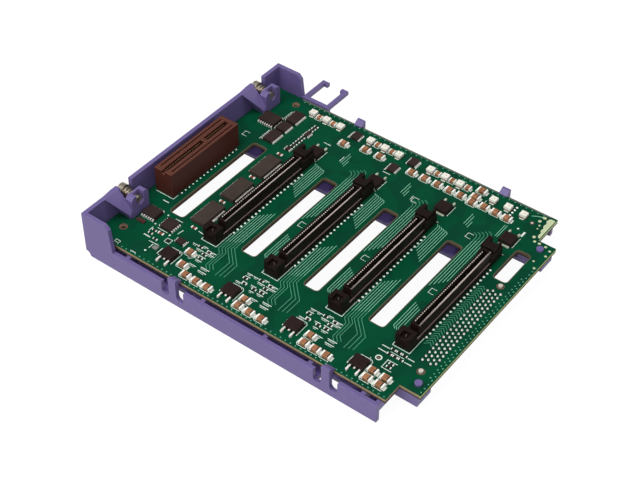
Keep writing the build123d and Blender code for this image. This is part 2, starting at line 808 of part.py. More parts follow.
# Small regulators past the far end of each drive socket, their leads towards the back
with BuildPart() as end_regulators:
    with BuildSketch(Plane.XY.offset(seat)):
        with Locations(*end_regulator_places):
            Rectangle(end_regulator_size[0], end_regulator_size[1])
    extrude(amount=end_regulator_size[2])
save(end_regulators.part, "end_regulators")
end_back = [(x, y + end_regulator_size[1] / 2) for x, y in end_regulator_places]
end_front = [(x, y - end_regulator_size[1] / 2) for x, y in end_regulator_places]
end_lead_places = [(x + side * regulator_lead_spread, y) for x, y in end_back for side in (-1, 1)]
tab_wide, tab_deep, tab_high = end_regulator_tab
with BuildPart() as end_regulator_leads:
    with BuildSketch(Plane.XY.offset(seat + regulator_lead_low)):
        with Locations(*[(x, y + regulator_lead_long / 2) for x, y in end_lead_places]):
            Rectangle(end_lead_wide, regulator_lead_long)
    extrude(amount=regulator_lead_top - regulator_lead_low)
    with BuildSketch(Plane.XY.offset(seat)):
        with Locations(*[(x, y + regulator_foot_y) for x, y in end_lead_places]):
            Rectangle(end_lead_wide, regulator_foot_long)
    extrude(amount=regulator_lead_top)
    with BuildSketch(Plane.XY.offset(seat)):
        with Locations(*[(x, y - tab_deep / 2) for x, y in end_front]):
            Rectangle(tab_wide, tab_deep)
    extrude(amount=tab_high)
save(end_regulator_leads.part, "end_regulator_leads")

# Row of indicator lights along the back edge
with BuildPart() as indicator_lights:
    with BuildSketch(Plane.XY.offset(seat)):
        with Locations(*light_places):
            Rectangle(light_size[0], light_size[1])
    extrude(amount=light_size[2])
save(indicator_lights.part, "indicator_lights")

# Chips with a row of leads on two opposite sides
for name, (places, high, pitch, turned) in chip_groups.items():
    with BuildPart() as chips:
        for x, y, wide, deep in places:
            x0 = x - wide / 2
            y0 = y - deep / 2
            box(x0, x0 + wide, y0, y0 + deep, seat + chip_gap, seat + high)
    save(chips.part, name)
    shoulders = []
    feet = []
    for x, y, wide, deep in places:
        side_long = wide if turned else deep
        count = int((side_long - chip_end_margin) / pitch) + 1
        if turned:
            shoulders += turned_lead_rows(x, y, deep, count, pitch, chip_shoulder_reach)
            feet += turned_lead_rows(x, y, deep, count, pitch, chip_foot_reach)
        else:
            shoulders += lead_rows(x, wide, y, count, pitch, chip_shoulder_reach)
            feet += lead_rows(x, wide, y, count, pitch, chip_foot_reach)
    along = pitch * chip_lead_share
    if turned:
        shoulder_size = (along, chip_lead_across)
        foot_size = (along, chip_foot_across)
    else:
        shoulder_size = (chip_lead_across, along)
        foot_size = (chip_foot_across, along)
    lead_level = high * chip_lead_level
    with BuildPart() as chip_leads:
        with BuildSketch(Plane.XY.offset(seat + lead_level - lead_thick)):
            with Locations(*shoulders):
                Rectangle(*shoulder_size)
        extrude(amount=lead_thick)
        with BuildSketch(Plane.XY.offset(seat)):
            with Locations(*feet):
                Rectangle(*foot_size)
        extrude(amount=lead_level)
    save(chip_leads.part, name[:-1] + "_leads")
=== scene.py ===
import json
import math
from collections import Counter

import bpy
from mathutils import Matrix, Vector


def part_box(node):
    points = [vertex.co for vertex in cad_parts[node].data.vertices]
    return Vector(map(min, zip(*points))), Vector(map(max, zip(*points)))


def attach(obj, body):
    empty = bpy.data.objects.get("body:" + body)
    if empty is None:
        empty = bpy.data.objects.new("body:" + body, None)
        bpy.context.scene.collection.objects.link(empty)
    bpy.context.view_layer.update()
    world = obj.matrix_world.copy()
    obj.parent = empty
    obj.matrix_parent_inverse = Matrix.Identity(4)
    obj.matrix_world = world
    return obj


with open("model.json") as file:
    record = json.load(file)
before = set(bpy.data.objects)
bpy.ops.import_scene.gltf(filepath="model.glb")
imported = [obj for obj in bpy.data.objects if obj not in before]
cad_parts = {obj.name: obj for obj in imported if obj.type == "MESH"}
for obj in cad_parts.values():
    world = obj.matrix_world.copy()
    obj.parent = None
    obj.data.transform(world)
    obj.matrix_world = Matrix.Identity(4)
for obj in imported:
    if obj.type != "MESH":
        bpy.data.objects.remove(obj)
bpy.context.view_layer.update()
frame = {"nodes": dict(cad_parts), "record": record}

mm = 0.001

# Boxes and places, read from the frame, in millimetres


def node_box(name):
    low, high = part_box(name)
    return [v / mm for v in low], [v / mm for v in high]


def node_corners(name):
    """A node's corners, rounded so that corners in one place are equal."""
    shown = frame["nodes"][name]
    places = [shown.matrix_world @ corner.co / mm for corner in shown.data.vertices]
    return [tuple(round(v, 3) for v in place) for place in places]


def joined_boxes(pairs):
    """The box round each group of corners that the pairs join, from left to right."""
    leader = {}

    def lead(corner):
        while leader.setdefault(corner, corner) != corner:
            corner = leader[corner]
        return corner

    for first, second in pairs:
        leader[lead(first)] = lead(second)
    groups = {}
    for corner in list(leader):
        groups.setdefault(lead(corner), []).append(corner)
    boxes = []
    for group in groups.values():
        axes = list(zip(*group))
        boxes.append(([min(axis) for axis in axes], [max(axis) for axis in axes]))
    return sorted(boxes)


def solid_boxes(name):
    """The box of each solid in a node."""
    corners = node_corners(name)
    return joined_boxes([[corners[i] for i in edge.vertices] for edge in frame["nodes"][name].data.edges])


def board_openings(level):
    """The box of each border of the board's top face: its outline, its windows and its holes."""
    near = 0.01
    corners = node_corners("circuit_board")
    borders = Counter(
        tuple(sorted((corners[a], corners[b])))
        for face in frame["nodes"]["circuit_board"].data.polygons
        if all(corners[i][2] > level - near for i in face.vertices)
        for a, b in face.edge_keys
    )
    return joined_boxes([pair for pair, faces in borders.items() if faces == 1])


def sized(boxes, narrow, wide):
    """The boxes whose width lies between two sizes."""
    return [(low, high) for low, high in boxes if narrow < high[0] - low[0] < wide]


def middles(boxes):
    return [((low[0] + high[0]) / 2, (low[1] + high[1]) / 2) for low, high in boxes]


board_low, board_high = node_box("circuit_board")
board_top = board_high[2]
board_bottom = board_low[2]
board_right = board_high[0]
board_back = board_high[1]
sockets = [node_box(f"drive_socket_{i}") for i in (1, 2, 3, 4)]
socket_lefts = [low[0] for low, high in sockets]
socket_pitch = (socket_lefts[3] - socket_lefts[0]) / 3
edge_low, edge_high = node_box("edge_socket")
regulators = middles([node_box(f"regulator_{i}") for i in (1, 2, 3, 4)])
end_regulators = middles(solid_boxes("end_regulators"))
lights = middles(solid_boxes("indicator_lights"))
light_top = node_box("indicator_lights")[1][2]
tails = middles(solid_boxes("link_connector_pins"))

# Capacitors in two sizes, and the windows and holes of the board, told apart by their widths
ceramics = solid_boxes("ceramic_capacitors")
big_caps = middles(sized(ceramics, 2.5, 3.0))
small_caps = middles(sized(ceramics, 1.5, 2.5))
openings = board_openings(board_top)
windows = sized(openings, 6.0, 9.0)
lock_holes = middles(sized(openings, 2.2, 2.4))
spare_holes = middles(sized(openings, 2.5, 2.7))

# Pitches of the pins and contacts
pin_pitch = 2.54
contact_pitch = 1.27

# Heights of the printed layers above the laminate
trace_level = board_top + 0.01
pad_level = board_top + 0.02
ink_level = board_top + 0.03
layer_thick = 0.03


# Shader values and finishes


class Value:
    """A socket that adds Math nodes when it is used in a sum."""

    def __init__(self, finish, socket):
        self.finish = finish
        self.socket = socket

    def math(self, operation, *others):
        values = {i: v for i, v in enumerate((self, *others))}
        return self.finish.node("ShaderNodeMath", {"operation": operation}, values)

    def __add__(self, other):
        return self.math("ADD", other)

    __radd__ = __add__

    def __mul__(self, other):
        return self.math("MULTIPLY", other)

    __rmul__ = __mul__

    def __sub__(self, other):
        return self.math("SUBTRACT", other)

    def __rsub__(self, other):
        return (self * -1.0) + other

    def above(self, limit):
        return self.math("GREATER_THAN", limit)

    def below(self, limit):
        return self.math("LESS_THAN", limit)

    def between(self, low, high):
        return self.above(low) * self.below(high)

    def ramp(self, low, high):
        """Goes from 0 at low to 1 at high and stays there."""
        names = {"Value": self, "From Min": low, "From Max": high}
        return self.finish.node("ShaderNodeMapRange", {"clamp": True}, names)

    def wave(self, length):
        """Swings between -1 and 1 once in each length."""
        return (self * (math.tau / length)).math("SINE")


class Finish:
    """One material, with the nodes that give its colour, sheen and grain."""

    def __init__(self, name, **constants):
        self.material = bpy.data.materials.new(name)
        self.material.use_nodes = True
        self.tree = self.material.node_tree
        self.tree.nodes.clear()
        self.output = self.tree.nodes.new("ShaderNodeOutputMaterial")
        self.shader = self.tree.nodes.new("ShaderNodeBsdfPrincipled")
        self.tree.links.new(self.shader.outputs[0], self.output.inputs[0])
        for key, value in constants.items():
            self.shader.inputs[key.replace("_", " ")].default_value = value
        self.place = self.node("ShaderNodeTexCoord", output="Object")

    def node(self, kind, settings=None, inputs=None, output=0):
        made = self.tree.nodes.new(kind)
        for key, value in (settings or {}).items():
            setattr(made, key, value)
        for key, value in (inputs or {}).items():
            if isinstance(value, Value):
                self.tree.links.new(value.socket, made.inputs[key])
            else:
                made.inputs[key].default_value = value
        return Value(self, made.outputs[output])

    def noise(self, scale, detail=3.0, rough=0.55):
        inputs = {"Vector": self.place, "Scale": scale, "Detail": detail, "Roughness": rough}
        return self.node("ShaderNodeTexNoise", inputs=inputs)

    def mix(self, share, first, second):
        def colour(v):
            return v if isinstance(v, Value) else (*v, 1)

        inputs = {0: share, 6: colour(first), 7: colour(second)}
        return self.node("ShaderNodeMix", {"data_type": "RGBA"}, inputs, output=2)

    def split(self, vector):
        return [self.node("ShaderNodeSeparateXYZ", inputs={0: vector}, output=axis) for axis in range(3)]

    def axes(self):
        """The place on the part, in millimetres."""
        return [axis * (1 / mm) for axis in self.split(self.place)]

    def facing(self):
        """How far the surface faces up, 1 for the top and -1 for the underside."""
        return self.split(self.node("ShaderNodeNewGeometry", output="True Normal"))[2]

    def rounded(self, radius):
        return self.node("ShaderNodeBevel", {"samples": 4}, {"Radius": radius * mm})

    def edge_highlight_mask(self, radius):
        """1 along sharp edges and 0 on flat faces: the mask of the painted highlight along edges."""
        flat = self.node("ShaderNodeNewGeometry", output="True Normal")
        normals = {0: self.rounded(radius), 1: flat}
        same = self.node("ShaderNodeVectorMath", {"operation": "DOT_PRODUCT"}, normals, output=1)
        return (1.0 - same).ramp(0.0, 0.25)

    def bump(self, height, strength, depth, under=None):
        inputs = {"Height": height, "Strength": strength, "Distance": depth * mm}
        if under is not None:
            inputs["Normal"] = under
        return self.node("ShaderNodeBump", inputs=inputs)

    def grain(self, scale, strength, depth, radius):
        """Fine grain over edges that are rounded by a radius."""
        return self.bump(self.noise(scale, 2.0), strength, depth, self.rounded(radius))

    def feed(self, **values):
        for key, value in values.items():
            self.tree.links.new(value.socket, self.shader.inputs[key.replace("_", " ")])


def violet_plastic():
    """Moulded violet plastic with a fine spark grain, faint flow marks, pale scuffs, a painted highlight
    along its edges and painted light on the up-facing floor faces low under the board.
    """
    finish = Finish("violet_plastic", Specular_IOR_Level=0.45)
    floor_below = 2.6
    flow = finish.noise(28.0, 4.0)
    scuffs = finish.noise(420.0, 2.0).ramp(0.66, 0.78)
    # Painted light: the up-facing floor faces low under the board are painted a lighter violet.
    lit_floor_face = finish.facing().above(0.8) * finish.axes()[2].below(floor_below)
    body = finish.mix(flow, (0.121, 0.088, 0.248), (0.150, 0.111, 0.286))
    body = finish.mix(scuffs * 0.16, body, (0.33, 0.28, 0.52))
    body = finish.mix(lit_floor_face, body, (0.235, 0.160, 0.52))
    finish.feed(
        # Painted highlight: the edges are mixed towards a pale violet.
        Base_Color=finish.mix(finish.edge_highlight_mask(0.3) * 0.42, body, (0.38, 0.33, 0.55)),
        Roughness=flow * 0.16 + 0.38,
        Normal=finish.grain(5200.0, 0.16, 0.05, 0.35),
    )
    return finish.material


def laminate_edge(finish):
    """The cut edge of the board: tan plies, darker in the windows and paler at the back right corner, with
    painted shade on its lower part.
    """
    ply_thick = 0.33
    x, y, z = finish.axes()
    plies = z.wave(ply_thick) * 0.5 + 0.5
    fibre = finish.noise(900.0)
    right_edge = x.ramp(board_right - 1.2, board_right - 0.2)
    window_wall = x.between(10.0, board_right - 3.0) * y.between(14.0, 110.0)
    corner = x.above(154.5) * y.above(113.6)
    # Painted shade: the lower part of the edge is painted near black.
    shaded_lower_part = z.ramp(board_bottom + 1.05, board_bottom + 0.60)
    edge = finish.mix(fibre, (0.270, 0.205, 0.115), (0.440, 0.350, 0.210))
    edge = finish.mix(plies * 0.25, edge, (0.150, 0.120, 0.070))
    edge = finish.mix(right_edge, edge, (0.42, 0.44, 0.20))
    edge = finish.mix(window_wall * 0.8, edge, (0.082, 0.060, 0.042))
    edge = finish.mix(corner, edge, (0.56, 0.62, 0.36))
    return finish.mix(shaded_lower_part * 0.9, edge, (0.040, 0.028, 0.020))


def board_laminate():
    """Green solder mask over woven glass laminate, with bare edges."""
    finish = Finish("board_laminate", Specular_IOR_Level=0.03)
    weave_wide = 0.9
    x, y, z = finish.axes()
    up = finish.facing()
    side = (up * up).below(0.3)
    cloud = finish.noise(46.0, 5.0)
    planes = finish.noise(95.0, 1.0, 0.2).ramp(0.47, 0.53)
    mask = finish.mix(cloud, (0.0010, 0.050, 0.0215), (0.0022, 0.077, 0.0340))
    mask = finish.mix(planes * 0.40, mask, (0.0035, 0.033, 0.0200))
    weave = x.wave(weave_wide) * y.wave(weave_wide)
    finish.feed(
        Base_Color=finish.mix(side, mask, laminate_edge(finish)),
        Roughness=side * 0.35 + cloud * 0.12 + 0.34,
        Normal=finish.bump(weave, 0.08, 0.02, finish.rounded(0.12)),
    )
    return finish.material


def dark_plastic(name, dark, pale, rough, edge, highlight_share=0.5, grain=3600.0, radius=0.22):
    """Moulded plastic for housings and packages, with a fine mat grain and softened edges that carry a
    painted highlight.
    """
    finish = Finish(name, Specular_IOR_Level=0.10)
    cloud = finish.noise(160.0)
    finish.feed(
        # Painted highlight: the edges are mixed towards the pale edge colour.
        Base_Color=finish.mix(finish.edge_highlight_mask(radius) * highlight_share, finish.mix(cloud, dark, pale), edge),
        Roughness=cloud * 0.18 + rough,
        Normal=finish.grain(grain, 0.22, 0.04, radius),
    )
    return finish.material


def edge_housing():
    """Red brown housing plastic, paler in stripes on its tops between the contact slots, with a painted
    highlight along its edges.
    """
    finish = Finish("brown_housing", Specular_IOR_Level=0.12)
    cloud = finish.noise(160.0)
    top = finish.facing().above(0.7)
    ribs = finish.axes()[1].wave(contact_pitch).ramp(-0.4, 0.6)
    body = finish.mix(cloud, (0.058, 0.0150, 0.0110), (0.086, 0.0235, 0.0165))
    body = finish.mix(top * ribs * 0.55, body, (0.195, 0.078, 0.050))
    finish.feed(
        # Painted highlight: the edges are mixed towards a pale brown.
        Base_Color=finish.mix(finish.edge_highlight_mask(0.22) * 0.7, body, (0.250, 0.120, 0.085)),
        Roughness=cloud * 0.18 + 0.42,
        Normal=finish.grain(3600.0, 0.22, 0.04, 0.22),
    )
    return finish.material


def socket_housing():
    """Near black housing plastic, with a painted highlight along the top of the right wall, on the ledge
    beside it and along its edges.
    """
    finish = Finish("black_housing", Specular_IOR_Level=0.10)
    x, y, z = finish.axes()
    cloud = finish.noise(160.0)
    top = finish.facing().above(0.7)
    across = ((x - socket_lefts[0]) * (1 / socket_pitch)).math("FRACT") * socket_pitch
    # Painted highlight: a pale line on the top of each socket's right wall, strongest along its middle, and
    # a paler ledge top beside it.
    wall_top_highlight = top * z.above(board_top + 8.2) * across.between(5.8, 6.7) * y.between(33.4, 86.9)
    wall_highlight_share = y.ramp(33.0, 52.0) * y.ramp(88.0, 76.0) * 0.55 + 0.25
    ledge_highlight = top * z.between(board_top + 2.4, board_top + 2.9) * across.above(6.5)
    body = finish.mix(cloud, (0.0080, 0.0036, 0.0032), (0.0150, 0.0082, 0.0072))
    body = finish.mix(wall_top_highlight * wall_highlight_share, body, (0.56, 0.46, 0.43))
    body = finish.mix(ledge_highlight * 0.75, body, (0.30, 0.22, 0.21))
    finish.feed(
        # Painted highlight: the edges are mixed towards a paler brown.
        Base_Color=finish.mix(finish.edge_highlight_mask(0.2) * 0.3, body, (0.12, 0.088, 0.082)),
        Roughness=cloud * 0.18 + 0.36,
        Normal=finish.grain(3600.0, 0.22, 0.04, 0.2),
    )
    return finish.material


def contact_metal(name, tip_from, tip_colour):
    """Contacts with lighter tips, painted near black below them as shade down in their slots."""
    finish = Finish(name, Metallic=0.1)
    stain = finish.noise(520.0)
    tip = finish.axes()[2].ramp(tip_from, tip_from + 0.15)
    # Painted shade: below the tip the contact takes this near black colour.
    deep = finish.mix(stain, (0.020, 0.013, 0.008), (0.045, 0.030, 0.018))
    finish.feed(
        Base_Color=finish.mix(tip, deep, tip_colour),
        Roughness=stain * 0.22 + 0.34,
        Normal=finish.grain(1400.0, 0.18, 0.05, 0.08),
    )
    return finish.material


def plated_metal(name, colour, shade, rough, metal=1.0):
    """Plated or tinned metal with small ripples and darker stains."""
    finish = Finish(name, Metallic=metal)
    stain = finish.noise(520.0)
    finish.feed(
        Base_Color=finish.mix(stain.ramp(0.45, 0.8), colour, shade),
        Roughness=stain * 0.22 + rough,
        Normal=finish.grain(1400.0, 0.18, 0.05, 0.10),
    )
    return finish.material


def printed_layer(name, dark, pale, rough, metal=0.0):
    """A thin printed or plated layer on the board, thinner in places."""
    finish = Finish(name, Metallic=metal, Specular_IOR_Level=0.12)
    wear = finish.noise(700.0)
    finish.feed(
        Base_Color=finish.mix(wear, dark, pale),
        Roughness=wear * 0.2 + rough,
        Normal=finish.bump(wear, 0.12, 0.02),
    )
    return finish.material


def ceramic_body():
    """Brown fired ceramic, a little mottled, with a painted highlight along its edges."""
    finish = Finish("ceramic_body", Specular_IOR_Level=0.25)
    mottle = finish.noise(300.0, 4.0)
    body = finish.mix(mottle.ramp(0.3, 0.7), (0.200, 0.072, 0.029), (0.400, 0.185, 0.088))
    finish.feed(
        # Painted highlight: the edges are mixed towards a pale tan.
        Base_Color=finish.mix(finish.edge_highlight_mask(0.45) * 0.6, body, (0.66, 0.43, 0.27)),
        Roughness=mottle * 0.2 + 0.40,
        Normal=finish.grain(2400.0, 0.2, 0.04, 0.18),
    )
    return finish.material


def cream_lens():
    """Cream light body that darkens to a brown foot."""
    finish = Finish("cream_lens", Specular_IOR_Level=0.35)
    cloud = finish.noise(380.0)
    foot = finish.axes()[2].ramp(board_top + 0.85, board_top + 0.45)
    body = finish.mix(cloud, (0.74, 0.72, 0.62), (0.88, 0.87, 0.80))
    finish.feed(
        Base_Color=finish.mix(foot, body, (0.16, 0.085, 0.050)),
        Roughness=cloud * 0.15 + 0.35,
        Normal=finish.grain(2600.0, 0.12, 0.04, 0.25),
    )
    return finish.material


# Finishes of the nodes by material slot
# Pale edge colours of the painted highlight on the dark plastics
highlight_brown = (0.090, 0.064, 0.056)
highlight_cream = (0.66, 0.63, 0.56)
finishes = {
    "carrier": violet_plastic(),
    "board": board_laminate(),
    "screw": plated_metal("nickel_plate", (0.60, 0.53, 0.44), (0.30, 0.24, 0.18), 0.24),
    "edge_socket": edge_housing(),
    "socket": socket_housing(),
    "link_connector": dark_plastic(
        "pale_housing", (0.50, 0.47, 0.40), (0.60, 0.57, 0.50), 0.42, highlight_cream
    ),
    "contact": contact_metal("gilt_contact", board_top + 7.55, (0.96, 0.86, 0.74)),
    "pin": plated_metal("soldered_pin", (0.88, 0.88, 0.84), (0.60, 0.60, 0.56), 0.30, 0.5),
    "lead": plated_metal("tinned_lead", (0.92, 0.89, 0.83), (0.66, 0.62, 0.55), 0.38, 0.25),
    "solder": plated_metal("tinned_end", (0.94, 0.93, 0.88), (0.74, 0.71, 0.64), 0.42, 0.15),
    "chip": dark_plastic(
        "package_plastic", (0.022, 0.013, 0.011), (0.042, 0.027, 0.023), 0.46, highlight_brown
    ),
    "capacitor": ceramic_body(),
    "light": cream_lens(),
}

# Finishes of single nodes
driver_plastic = dark_plastic(
    "driver_plastic", (0.034, 0.0245, 0.0195), (0.066, 0.049, 0.040), 0.5, highlight_brown
)
regulator_plastic = dark_plastic(
    "regulator_plastic", (0.0125, 0.0060, 0.0054), (0.027, 0.0150, 0.0135), 0.42, highlight_brown
)
dull_lead = plated_metal("dull_lead", (0.56, 0.60, 0.47), (0.36, 0.39, 0.30), 0.42, 0.2)
edge_contact = contact_metal("gilt_edge_contact", board_top + 11.1, (0.30, 0.17, 0.085))

# Finishes of the printed and plated layers
copper = printed_layer("masked_copper", (0.135, 0.400, 0.250), (0.250, 0.560, 0.390), 0.34)
deep_copper = printed_layer("deep_copper", (0.045, 0.205, 0.115), (0.095, 0.320, 0.195), 0.36)
bare_laminate = printed_layer("bare_laminate", (0.085, 0.068, 0.043), (0.155, 0.125, 0.080), 0.5)
tented = printed_layer("tented_ring", (0.120, 0.440, 0.280), (0.260, 0.640, 0.450), 0.38)
edge_band = printed_layer("edge_band", (0.085, 0.105, 0.078), (0.150, 0.175, 0.135), 0.5)
ink = printed_layer("white_ink", (0.55, 0.66, 0.57), (0.80, 0.87, 0.80), 0.55)
dull_solder = printed_layer("dull_solder", (0.86, 0.92, 0.85), (0.97, 0.98, 0.95), 0.45)
plating = printed_layer("tinned_pad", (0.58, 0.64, 0.55), (0.88, 0.89, 0.82), 0.34, 0.35)
olive_plating = printed_layer("olive_plating", (0.42, 0.52, 0.26), (0.74, 0.80, 0.54), 0.34, 0.2)
# Near black for open holes and for patches of painted shade round solder
hole_and_shade_dark = printed_layer("open_hole_and_shade", (0.004, 0.008, 0.005), (0.010, 0.016, 0.011), 0.6)
spare_rim = printed_layer("bare_rim", (0.130, 0.062, 0.048), (0.200, 0.105, 0.080), 0.5)
# Near black for the bands of painted shade beside the capacitor ends
cap_shade_band = printed_layer("cap_shade_band", (0.006, 0.004, 0.003), (0.014, 0.009, 0.007), 0.4)

# Finishes of the small parts
little = {"highlight_share": 0.4, "grain": 2600.0, "radius": 0.10}
red_body = dark_plastic(
    "red_body", (0.150, 0.038, 0.025), (0.230, 0.068, 0.046), 0.36, (0.32, 0.13, 0.10), **little
)
maroon_body = dark_plastic(
    "maroon_body", (0.048, 0.016, 0.015), (0.085, 0.032, 0.030), 0.36, (0.21, 0.14, 0.13),
    highlight_share=0.6, grain=2600.0, radius=0.2,
)
black_body = dark_plastic(
    "black_body", (0.012, 0.010, 0.010), (0.026, 0.021, 0.020), 0.40, highlight_brown, **little
)
grey_body = dark_plastic(
    "grey_body", (0.150, 0.165, 0.140), (0.240, 0.250, 0.220), 0.40, (0.34, 0.35, 0.31), **little
)
warm_dot = dark_plastic(
    "warm_lens", (0.60, 0.42, 0.28), (0.74, 0.58, 0.42), 0.25, (0.78, 0.66, 0.5), **little
)

own_finishes = {
    "driver_chip_1": driver_plastic,
    "driver_chip_2": driver_plastic,
    "driver_chip_3": driver_plastic,
    "regulator_1": regulator_plastic,
    "regulator_2": regulator_plastic,
    "regulator_3": regulator_plastic,
    "regulator_4": regulator_plastic,
    "end_regulators": regulator_plastic,
    "end_regulator_leads": dull_lead,
    "edge_socket_contacts": edge_contact,
}
for part in frame["record"]["subparts"]:
    name = part["node"]
    shown = frame["nodes"][name]
    shown.data.materials.clear()
    shown.data.materials.append(own_finishes.get(name, finishes[part["material_slot"]]))


# Making pieces


def settle(piece, name, material):
    """Puts a piece's place into its mesh, names it and lets it ride on the part."""
    bpy.ops.object.select_all(action="DESELECT")
    bpy.context.view_layer.objects.active = piece
    piece.select_set(True)
    bpy.ops.object.transform_apply(location=True, rotation=True, scale=True)
    piece.name = name
    piece.data.name = name
    piece.data.materials.clear()
    piece.data.materials.append(material)
    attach(piece, "root")


def repeat(master, places, level):
    """Copies a modelled piece to each place at one level, joins the copies and drops the first."""
    bpy.ops.object.select_all(action="DESELECT")
    copies = []
    for x, y in places:
        made = master.copy()
        made.data = master.data.copy()
        made.location = (x * mm, y * mm, level * mm)
        bpy.context.scene.collection.objects.link(made)
        made.select_set(True)
        copies.append(made)
    bpy.data.objects.remove(master)
    bpy.context.view_layer.objects.active = copies[0]
    bpy.ops.object.join()
    return bpy.context.view_layer.objects.active


def block(long, deep, high, soft):
    """A small block that stands on z 0 with softened edges."""
    bpy.ops.object.select_all(action="DESELECT")
    bpy.ops.mesh.primitive_cube_add(size=1, location=(0, 0, high * mm / 2))
    piece = bpy.context.active_object
    piece.scale = (long * mm, deep * mm, high * mm)
    bpy.ops.object.transform_apply(location=True, rotation=False, scale=True)
    bpy.ops.object.mode_set(mode="EDIT")
    bpy.ops.mesh.select_all(action="SELECT")
    bpy.ops.mesh.bevel(offset=soft * mm, segments=1)
    bpy.ops.object.mode_set(mode="OBJECT")
    return piece


def dome(radius, high, sides=10):
    """A solder dome: an upright foot with a shoulder and a crown that each draw in."""
    foot = 0.4 * high * mm
    shoulder = (0.35, 0.72)
    crown = (0.25, 0.4)
    bpy.ops.object.select_all(action="DESELECT")
    bpy.ops.mesh.primitive_cylinder_add(
        vertices=sides, radius=radius * mm, depth=foot, location=(0, 0, foot / 2)
    )
    piece = bpy.context.active_object
    bpy.ops.object.transform_apply(location=True, rotation=False, scale=False)
    bpy.ops.object.mode_set(mode="EDIT")
    bpy.ops.mesh.select_all(action="DESELECT")
    bpy.ops.object.mode_set(mode="OBJECT")
    for face in piece.data.polygons:
        face.select = face.normal.z > 0.9
    bpy.ops.object.mode_set(mode="EDIT")
    for rise, width in (shoulder, crown):
        bpy.ops.mesh.extrude_region_move(TRANSFORM_OT_translate={"value": (0, 0, high * rise * mm)})
        bpy.ops.transform.resize(value=(width, width, 1))
    bpy.ops.object.mode_set(mode="OBJECT")
    return piece


def circle(x, y, radius, sides):
    """Points at equal steps round a circle."""
    turns = [math.tau * i / sides for i in range(sides)]
    return [(x + radius * math.cos(turn), y + radius * math.sin(turn)) for turn in turns]


def row(first, step, count):
    """Places in a straight row with equal steps."""
    return [(first[0] + i * step[0], first[1] + i * step[1]) for i in range(count)]


class Layer:
    """Flat shapes printed on the board, drawn in board millimetres."""

    mitre_limit = 0.4
    same_corner = 0.002

    def __init__(self, level):
        self.level = level
        self.corners = []
        self.faces = []

    def patch(self, points):
        start = len(self.corners)
        self.corners += [(x * mm, y * mm, self.level * mm) for x, y in points]
        self.faces.append(tuple(range(start, len(self.corners))))

    def rect(self, x, y, wide, deep):
        """A rectangle round its middle."""
        left, right = x - wide / 2, x + wide / 2
        front, back = y - deep / 2, y + deep / 2
        self.patch([(left, front), (right, front), (right, back), (left, back)])

    def line(self, points, wide):
        """A line of even width with mitred corners."""
        sides = []
        for i, point in enumerate(points):
            before = points[max(i - 1, 0)]
            after = points[min(i + 1, len(points) - 1)]
            here = Vector(point)
            a = (here - Vector(before)).normalized() if i else None
            b = (Vector(after) - here).normalized() if i < len(points) - 1 else None
            run = ((a or b) + (b or a)).normalized()
            stretch = 1 / max(self.mitre_limit, run.dot(a or b))
            reach = Vector((-run.y, run.x)) * wide / 2 * stretch
            sides.append((here + reach, here - reach))
        for (left, right), (next_left, next_right) in zip(sides, sides[1:]):
            self.patch([tuple(right), tuple(next_right), tuple(next_left), tuple(left)])

    def lines(self, path, places, wide):
        """The same line at each place, with its path measured from there."""
        for x, y in places:
            self.line([(x + across, y + along) for across, along in path], wide)

    def dot(self, x, y, radius, sides=10):
        self.patch(circle(x, y, radius, sides))

    def ring(self, x, y, inner, outer, sides=12):
        near = circle(x, y, inner, sides)
        far = circle(x, y, outer, sides)
        for i in range(sides):
            after = (i + 1) % sides
            self.patch([far[i], far[after], near[after], near[i]])

    def lay(self, name, material):
        mesh = bpy.data.meshes.new(name)
        mesh.from_pydata(self.corners, [], self.faces)
        piece = bpy.data.objects.new(name, mesh)
        bpy.context.scene.collection.objects.link(piece)
        bpy.ops.object.select_all(action="DESELECT")
        bpy.context.view_layer.objects.active = piece
        piece.select_set(True)
        bpy.ops.object.mode_set(mode="EDIT")
        bpy.ops.mesh.select_all(action="SELECT")
        bpy.ops.mesh.remove_doubles(threshold=self.same_corner * mm)
        bpy.ops.mesh.extrude_region_move(TRANSFORM_OT_translate={"value": (0, 0, layer_thick * mm)})
        bpy.ops.mesh.select_all(action="SELECT")
        bpy.ops.mesh.normals_make_consistent(inside=False)
        bpy.ops.object.mode_set(mode="OBJECT")
        settle(piece, name, material)


# Copper traces that show through the solder mask
traces = Layer(trace_level)
faint_traces = Layer(trace_level)
trace_wide = 0.30
trace_pitch = 1.15
clear_run = 5.0


def run_past_socket(x0):
    """The traces to the right of a socket, in two bundles of three that bend away at the front."""
    for i in range(6):
        x = x0 + 8.9 + i * trace_pitch
        top = 94.4 - i * 0.3
        if i < 3:
            shift, bend, end = 2.3, 25.6 + i * 0.8, 14.4 + i * 0.9
            foot = [(x + shift + 2.2, end - 2.2)]
        else:
            k = i - 3
            shift, bend, end = 6.0 + k * 0.7, 27.5 + k * 0.9, 12.0 + k * 0.6
            foot = []
        clear_end = bend + clear_run
        traces.line([(x - 1.0, top + 1.0), (x, top), (x, 77.2 - i * 1.2)], trace_wide)
        traces.line([(x, 51.5 + i * 1.2), (x, clear_end)], trace_wide)
        down = [(x, clear_end), (x, bend), (x + shift, bend - shift), (x + shift, end)]
        faint_traces.line(down + foot, trace_wide)


def run_before_socket(x0):
    """The traces to the left of a socket: five that curve away at the back and four at the front."""
    for i in range(5):
        x = x0 - 7.7 + i * 1.2
        top = 98.6 + i * 1.1
        traces.line([(x, 62.0 + i * 1.6), (x, top - 3.0)], trace_wide)
        faint_traces.line([(x, top - 3.0), (x, top), (x - 0.7, top + 1.5), (x - 2.4, top + 2.2)], trace_wide)
    for i in range(4):
        x = x0 - 6.4 + i * trace_pitch
        traces.line([(x, 50.5 - i * 0.8), (x, 34.4), (x + 1.4, 33.0 - i * 0.1)], trace_wide)


